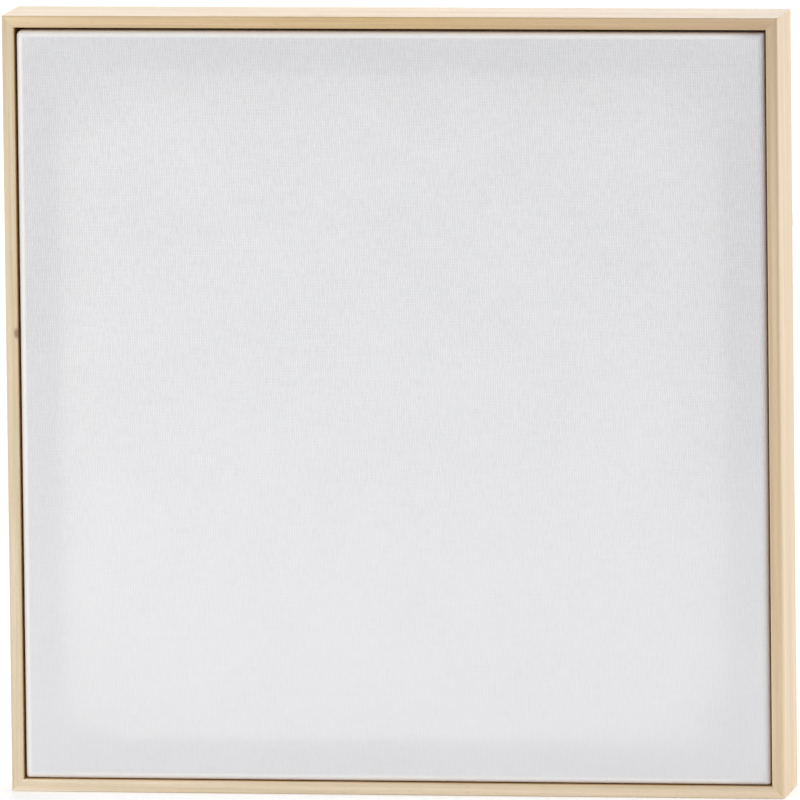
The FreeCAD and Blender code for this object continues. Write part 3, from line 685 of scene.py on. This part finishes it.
def refine(node, name, width, material, segments=2, along=None):
    """A copy of a CAD node with its edges eased, in place of the node.

    With along, the edges that run along that axis are eased fully and the others by CUT_EASE.
    """
    source = frame["nodes"][node]
    mesh = source.data.copy()
    mesh.name = name
    form = bmesh.new()
    form.from_mesh(mesh)
    bmesh.ops.remove_doubles(form, verts=form.verts, dist=1e-6)
    bmesh.ops.dissolve_limit(form, angle_limit=SMOOTH, verts=form.verts, edges=form.edges)
    if along:
        share = form.edges.layers.float.new("bevel_weight_edge")
        axis = "xyz".index(along)
        for edge in form.edges:
            if edge.calc_face_angle(0) > EDGE:
                way = (edge.verts[1].co - edge.verts[0].co).normalized()
                edge[share] = 1.0 if abs(way[axis]) > 0.99 else CUT_EASE
    form.to_mesh(mesh)
    form.free()
    if mesh.has_custom_normals:
        mesh.attributes.remove(mesh.attributes["custom_normal"])
    mesh.materials.clear()
    mesh.materials.append(material)
    piece = new_object(name, mesh)
    bevel = piece.modifiers.new("eased", "BEVEL")
    bevel.width = width
    bevel.segments = segments
    bevel.limit_method = "WEIGHT" if along else "ANGLE"
    bevel.angle_limit = EDGE
    apply_modifiers(piece)
    piece.data.shade_smooth()
    piece.data.set_sharp_from_angle(angle=math.radians(34))
    level = piece.modifiers.new("level", "WEIGHTED_NORMAL")
    level.weight = 100
    level.keep_sharp = True
    apply_modifiers(piece)
    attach(piece, source["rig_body"])
    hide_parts(node)


def build_wood():
    """The frame's rails, the stretcher's bars and its wedge keys."""
    for number, side in enumerate(SIDES):
        grain = "x" if side in ("bottom", "top") else "z"
        knot = KNOT if side == "left" else None
        # the right rail's outer side gets a painted-light tone
        outside_painted_light = RIGHT_OUTSIDE_PAINTED_LIGHT if side == "right" else None
        look = wood("frame_wood_" + side, grain, FRAME_TONES[side], 1.0 + number, knot=knot,
                    rebate=True, outside_painted_light=outside_painted_light)
        refine("frame_rail_" + side, "rail_" + side, RAIL_EASE, look,
               segments=3, along=grain)
        look = wood("stretcher_wood_" + side, grain, plain(PINE), 11.0 + number, figure=1.9,
                    pores=1.6, roughness=0.62)
        refine("stretcher_bar_" + side, "stretcher_" + side, BAR_EASE, look)
    for number, corner in enumerate(CORNERS):
        for layer in ("front", "back"):
            node = "key_%s_%s" % (corner, layer)
            low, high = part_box(node)
            grain = "x" if high.x - low.x > high.z - low.z else "z"
            look = wood("key_wood_%s_%s" % (corner, layer), grain, plain(BEECH),
                        23.0 + 2 * number + (layer == "back"), figure=0.7, pores=2.2,
                        roughness=0.5)
            refine(node, "wedge_%s_%s" % (corner, layer), KEY_EASE, look)


def build_metal():
    """Staples, V-nails and screws, and the hangers' straps; the CAD rings get a material."""
    zinc = metal("zinc_look", ZINC, 0.3, 1.0)
    steel = metal("staple_look", STEEL, 0.26, 2.0, mottle=0.08)
    dull = metal("v_nail_look", DULL_STEEL, 0.38, 3.0, mottle=0.2)
    nickel = metal("nickel_look", NICKEL, 0.22, 4.0, mottle=0.05)
    for side in SIDES:
        refine("staples_" + side, "staple_row_" + side, STAPLE_EASE, steel)
        refine("frame_screw_" + side, "ledge_screw_" + side, LEDGE_SCREW_EASE, zinc)
    refine("staples_corners", "staple_corners", STAPLE_EASE, steel)
    for corner in CORNERS:
        refine("v_nail_" + corner, "corner_nail_" + corner, NAIL_EASE, dull)
    for side in ("left", "right"):
        refine("hanger_screw_" + side, "strap_screw_" + side, STRAP_SCREW_EASE, zinc)
        refine("hanger_strap_" + side, "strap_" + side, STRAP_EASE, nickel)
        ring = frame["nodes"]["hanger_ring_" + side]
        ring.data.materials.clear()
        ring.data.materials.append(nickel)


# ---- stage, light and camera ------------------------------------------------------------------

WORLD_LEVEL = 0.45
FLOOR_GLOW = 0.21           # light that comes up through the white floor, as on a light table
FLOOR_DROP = 0.3 * MM       # the floor's surface below the frame


def build_stage():
    """A plain white floor under a white surround."""
    form = bmesh.new()
    bmesh.ops.create_grid(form, x_segments=1, y_segments=1, size=20)     # metres, half a side
    mesh = bpy.data.meshes.new("floor")
    form.to_mesh(mesh)
    form.free()
    floor = new_object("floor", mesh)
    floor.location.z = -FLOOR_DROP
    tree = Tree("floor_look", Roughness=0.9, Specular_IOR_Level=0.1)
    tree.feed(tree.shader.inputs["Base Color"], tree.ramp(
        tree.noise(tree.place(), scale=1.5, detail=2),
        [(0.3, (0.93, 0.93, 0.93, 1)), (0.7, (0.96, 0.96, 0.96, 1))]))
    tree.feed(tree.shader.inputs["Emission Color"], WHITE)
    tree.feed(tree.shader.inputs["Emission Strength"], FLOOR_GLOW)
    mesh.materials.append(tree.material)
    world = bpy.data.worlds.new("surround")
    world.use_nodes = True
    background = world.node_tree.nodes["Background"]
    background.inputs["Color"].default_value = WHITE
    background.inputs["Strength"].default_value = WORLD_LEVEL
    bpy.context.scene.world = world


def area_light(name, place, aim, size, power):
    """A square soft light that faces a point, of size metres and power watts."""
    lamp = bpy.data.lights.new(name, "AREA")
    lamp.shape = "SQUARE"
    lamp.size = size
    lamp.energy = power
    holder = new_object(name, lamp)
    holder.location = place
    holder.rotation_mode = "QUATERNION"
    holder.rotation_quaternion = (Vector(aim) - Vector(place)).to_track_quat("-Z", "Y")
    holder.visible_camera = False


def sun_light(name, direction, strength, spread):
    """A distant light that shines along a direction, soft by its spread in degrees."""
    lamp = bpy.data.lights.new(name, "SUN")
    lamp.energy = strength
    lamp.angle = math.radians(spread)
    holder = new_object(name, lamp)
    holder.rotation_mode = "QUATERNION"
    holder.rotation_quaternion = Vector(direction).to_track_quat("-Z", "Y")


def build_light():
    """Soft light from above and both sides, and from a backdrop that shows through the cloth."""
    sun_light("above", (0.1, 0.7, -0.7), 0.72, 50)
    sun_light("right", (-1.0, -0.05, -0.15), 1.56, 25)
    sun_light("backdrop", (-0.05, -0.85, -0.45), 1.45, 40)
    sun_light("backdrop_right", (-0.55, -0.83, -0.05), 0.55, 30)
    area_light("front_left", (-1.0, -1.1, 0.2), (-0.1, 0, 0.1), 0.7, 4.85)


CAMERA_TURN = math.radians(8.81)       # to the right of straight in front
CAMERA_RISE = math.radians(6.69)       # above level
CAMERA_ROLL = math.radians(-0.645)
CAMERA_REACH = 7.10                    # metres from the aim point
CAMERA_AIM = Vector((3.07 * MM, -20 * MM, 158.32 * MM))
CAMERA_LENS, CAMERA_SENSOR = 804.4, 36     # both in millimetres


def build_camera():
    """A long lens, a little above the picture and to its right."""
    back = Vector((math.sin(CAMERA_TURN) * math.cos(CAMERA_RISE),
                   -math.cos(CAMERA_TURN) * math.cos(CAMERA_RISE), math.sin(CAMERA_RISE)))
    level = Vector((math.cos(CAMERA_TURN), math.sin(CAMERA_TURN), 0))
    upright = back.cross(level)
    right = level * math.cos(CAMERA_ROLL) + upright * math.sin(CAMERA_ROLL)
    up = upright * math.cos(CAMERA_ROLL) - level * math.sin(CAMERA_ROLL)
    lens = bpy.data.cameras.new("camera")
    lens.lens = CAMERA_LENS
    lens.sensor_width = CAMERA_SENSOR
    lens.clip_end = 60                 # metres
    camera = new_object("camera", lens)
    place = CAMERA_AIM + back * CAMERA_REACH
    camera.matrix_world = Matrix.Translation(place) @ Matrix(
        (right, up, back)).transposed().to_4x4()
    bpy.context.scene.camera = camera


build_camera()
build_canvas()
build_wood()
build_metal()
build_stage()
build_light()
bpy.context.scene.view_settings.view_transform = "Standard"
